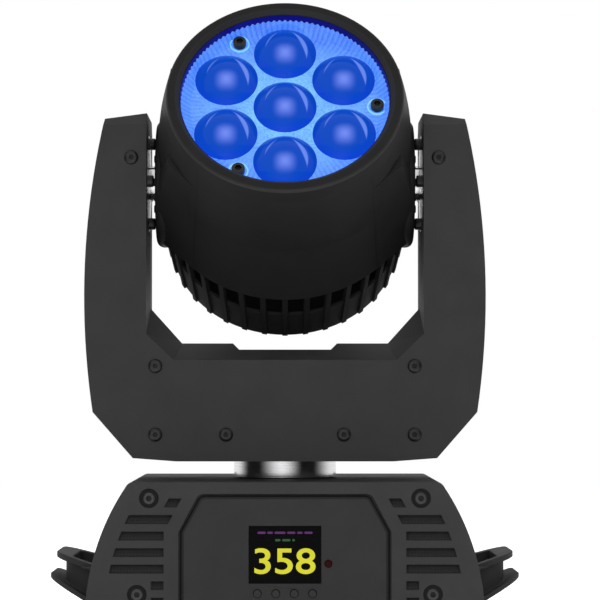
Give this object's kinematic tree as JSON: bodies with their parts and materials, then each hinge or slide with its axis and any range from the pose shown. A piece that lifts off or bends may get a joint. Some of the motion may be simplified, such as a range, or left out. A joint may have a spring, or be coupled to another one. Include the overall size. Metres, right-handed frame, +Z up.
{
  "type": "moving head light",
  "caption": "Moving head wash light: barrel head with domed lenses tilting in a U-shaped yoke that pans on a base with control panel, vents and side handles.",
  "frame": {"origin": "centre of the bracket holes on the base's underside, on the pan axis", "axes": "+Z up along the pan axis, -Y towards the control panel, +X to the right of a viewer facing the panel"},
  "size_m": [0.304, 0.2278, 0.4119],
  "materials": {
    "casing": "fine textured matt",
    "bezel": "fine textured matt",
    "panel": "satin",
    "barrel": "fine textured matt",
    "rear_black": "matt",
    "display": "gloss",
    "lamp": "gloss",
    "button": "satin",
    "board": "satin",
    "power_blue": "satin",
    "data_metal": "satin",
    "fuse_black": "satin",
    "screen": "woven mesh",
    "rubber": "matt",
    "sheet_steel": "satin",
    "bright_steel": "satin",
    "chrome": "polished",
    "black_screw": "black oxide",
    "motor_black": "satin",
    "alloy": "satin",
    "brass": "satin",
    "led": "lit",
    "lens_plate": "lit, pebbled",
    "lens": "polished"
  },
  "bodies": {
    "base": {"base_tray": "sheet_steel", "base_chassis": "sheet_steel", "base_shell": "casing", "front_bezel": "bezel", "rear_bezel": "bezel", "control_panel": "panel", "display_window": "display", "status_lamp": "lamp", "display_board": "board", "connector_plate": "panel", "power_sockets": "power_blue", "data_sockets": "data_metal", "fuse_holder": "fuse_black", "vent_screens": "screen", "left_handle": "casing", "right_handle": "casing", "rubber_feet": "rubber", "bezel_screws": "bright_steel", "power_supply": "alloy", "main_board": "board", "pan_bearing": "bright_steel", "pan_motor": "motor_black", "pan_belt": "rubber"},
    "yoke": {"pan_shaft": "chrome", "pan_pulley": "alloy", "yoke_frame": "sheet_steel", "yoke_front_cover": "casing", "yoke_rear_cover": "casing", "cover_screws": "black_screw", "bearing_flanges": "bright_steel", "flange_screws": "black_screw", "tilt_motor": "motor_black", "tilt_belt": "rubber"},
    "head": {"head_shell": "barrel", "front_ring": "barrel", "rear_housing": "rear_black", "head_frame": "sheet_steel", "heat_sink": "alloy", "led_board": "board", "led_emitters": "led", "left_tilt_shaft": "chrome", "right_tilt_shaft": "chrome", "hub_screws": "black_screw", "tilt_pulley": "alloy", "fan_frame": "rear_black", "zoom_motor": "motor_black", "zoom_bushes": "brass"},
    "zoom_carriage": {"lens_plate": "lens_plate", "lenses": "lens", "guide_posts": "bright_steel", "zoom_nut": "brass", "lens_screws": "black_screw"},
    "fan": {"fan_rotor": "rear_black"},
    "lead_screw": {"zoom_screw": "bright_steel"},
    "pan_pinion": {"pan_motor_pulley": "alloy"},
    "tilt_pinion": {"tilt_motor_pulley": "alloy"},
    "menu_button": {"menu_button": "button"},
    "down_button": {"down_button": "button"},
    "up_button": {"up_button": "button"},
    "enter_button": {"enter_button": "button"}
  },
  "joints": [
    {"name": "pan", "type": "hinge", "parent": "base", "child": "yoke", "pos_m": [0, 0, 0.1], "axis": [0, 0, 1], "range_deg": [-270, 270]},
    {"name": "tilt", "type": "hinge", "parent": "yoke", "child": "head", "pos_m": [0, 0, 0.2913], "axis": [1, 0, 0], "range_deg": [-173, 57]},
    {"name": "zoom", "type": "slide", "parent": "head", "child": "zoom_carriage", "axis": [0, -0.848, 0.5299], "range_m": [-0.018, 0.004]},
    {"name": "zoom_screw_turn", "type": "hinge", "parent": "head", "child": "lead_screw", "pos_m": [0.03075, 0.02822, 0.33647], "axis": [0, -0.848, 0.5299], "range_deg": [-811, 181]},
    {"name": "fan_spin", "type": "hinge", "parent": "head", "child": "fan", "pos_m": [0, 0, 0.2913], "axis": [0, -0.848, 0.5299], "continuous": true},
    {"name": "pan_pinion_turn", "type": "hinge", "parent": "base", "child": "pan_pinion", "pos_m": [0.062, 0, 0.08], "axis": [0, 0, 1], "range_deg": [-1216, 1216]},
    {"name": "tilt_pinion_turn", "type": "hinge", "parent": "yoke", "child": "tilt_pinion", "pos_m": [0.105, 0, 0.145], "axis": [1, 0, 0], "range_deg": [-693, 229]},
    {"name": "menu_button_press", "type": "slide", "parent": "base", "child": "menu_button", "axis": [0, 1, 0], "range_m": [0, 0.0012], "stiffness_N_per_m": 400},
    {"name": "down_button_press", "type": "slide", "parent": "base", "child": "down_button", "axis": [0, 1, 0], "range_m": [0, 0.0012], "stiffness_N_per_m": 400},
    {"name": "up_button_press", "type": "slide", "parent": "base", "child": "up_button", "axis": [0, 1, 0], "range_m": [0, 0.0012], "stiffness_N_per_m": 400},
    {"name": "enter_button_press", "type": "slide", "parent": "base", "child": "enter_button", "axis": [0, 1, 0], "range_m": [0, 0.0012], "stiffness_N_per_m": 400}
  ],
  "couplings": [
    {"joint": "zoom_screw_turn", "follows": "zoom", "rad_per_m": 785.4},
    {"joint": "pan_pinion_turn", "follows": "pan", "ratio": 4.5},
    {"joint": "tilt_pinion_turn", "follows": "tilt", "ratio": 4}
  ]
}
